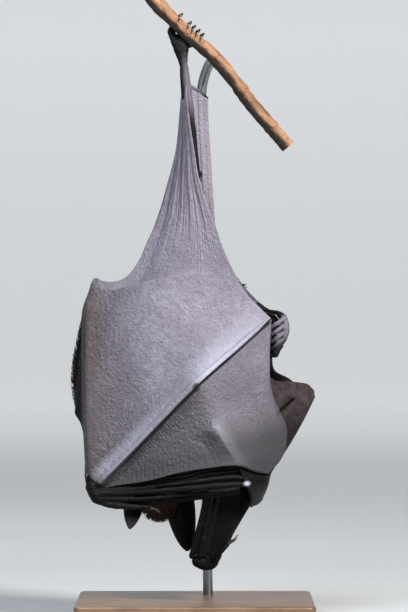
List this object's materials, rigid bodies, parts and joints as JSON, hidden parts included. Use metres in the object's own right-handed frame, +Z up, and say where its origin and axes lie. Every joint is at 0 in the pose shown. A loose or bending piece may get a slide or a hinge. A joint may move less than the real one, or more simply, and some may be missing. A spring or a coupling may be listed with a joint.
{
  "type": "fruit bat",
  "caption": "Life-size roosting flying fox hanging by one foot with folded wings across the belly, on a cut branch perch held by a plain display stand.",
  "frame": {"origin": "a point on the flat underside of the stand base, below the middle of the folded wings", "axes": "+Z up, +X to the viewer's right when facing the bat's belly side, +Y away from that viewer"},
  "size_m": [0.1942, 0.17, 0.5109],
  "materials": {
    "wing_skin": "thin dark grey-mauve wing skin with a soft sheen",
    "bare_skin": "dark wrinkled bare skin of fingers, feet and ears",
    "fur": "short dark brown coat, reddish on the crown",
    "claw": "polished black horn",
    "eye": "wet dark brown eye",
    "bark": "weathered tan bark, darker below",
    "base_wood": "plain satin varnished board",
    "rod_steel": "plain brushed rod"
  },
  "bodies": {
    "root": {"claw_foot_left_1": "claw", "claw_foot_left_2": "claw", "claw_foot_left_3": "claw", "claw_foot_left_4": "claw", "claw_foot_left_5": "claw", "claw_foot_right_1": "claw", "claw_foot_right_2": "claw", "claw_foot_right_3": "claw", "claw_foot_right_4": "claw", "claw_foot_right_5": "claw", "claw_thumb_left": "claw", "claw_thumb_right": "claw", "ear_left": "bare_skin", "ear_right": "bare_skin", "eye_left": "eye", "eye_right": "eye", "finger2_left": "bare_skin", "finger3_left": "bare_skin", "finger3_right": "bare_skin", "finger4_left": "bare_skin", "finger4_right": "bare_skin", "finger5_left_metacarpal": "bare_skin", "finger5_left_phalanges": "bare_skin", "finger5_right": "bare_skin", "foot_left": "bare_skin", "foot_right": "bare_skin", "forearm_left": "bare_skin", "forearm_right": "bare_skin", "head": "fur", "neck": "fur", "nose": "bare_skin", "perch": "bark", "propatagium_left": "wing_skin", "shank_left": "bare_skin", "shank_right": "bare_skin", "stand_base": "base_wood", "stand_rod": "rod_steel", "thigh_left": "fur", "thigh_right": "fur", "thumb_left": "bare_skin", "thumb_right": "bare_skin", "trunk": "fur", "upper_arm_left": "fur", "upper_arm_right": "fur", "uropatagium_left": "wing_skin", "wing_left_finger_web": "wing_skin", "wing_left_flank": "wing_skin", "wing_left_front": "wing_skin", "wing_left_hand": "wing_skin", "wing_left_tip": "wing_skin", "wing_right_finger_web": "wing_skin", "wing_right_flank": "wing_skin", "wing_right_front": "wing_skin", "wrist_left": "bare_skin", "wrist_right": "bare_skin"}
  },
  "joints": []
}
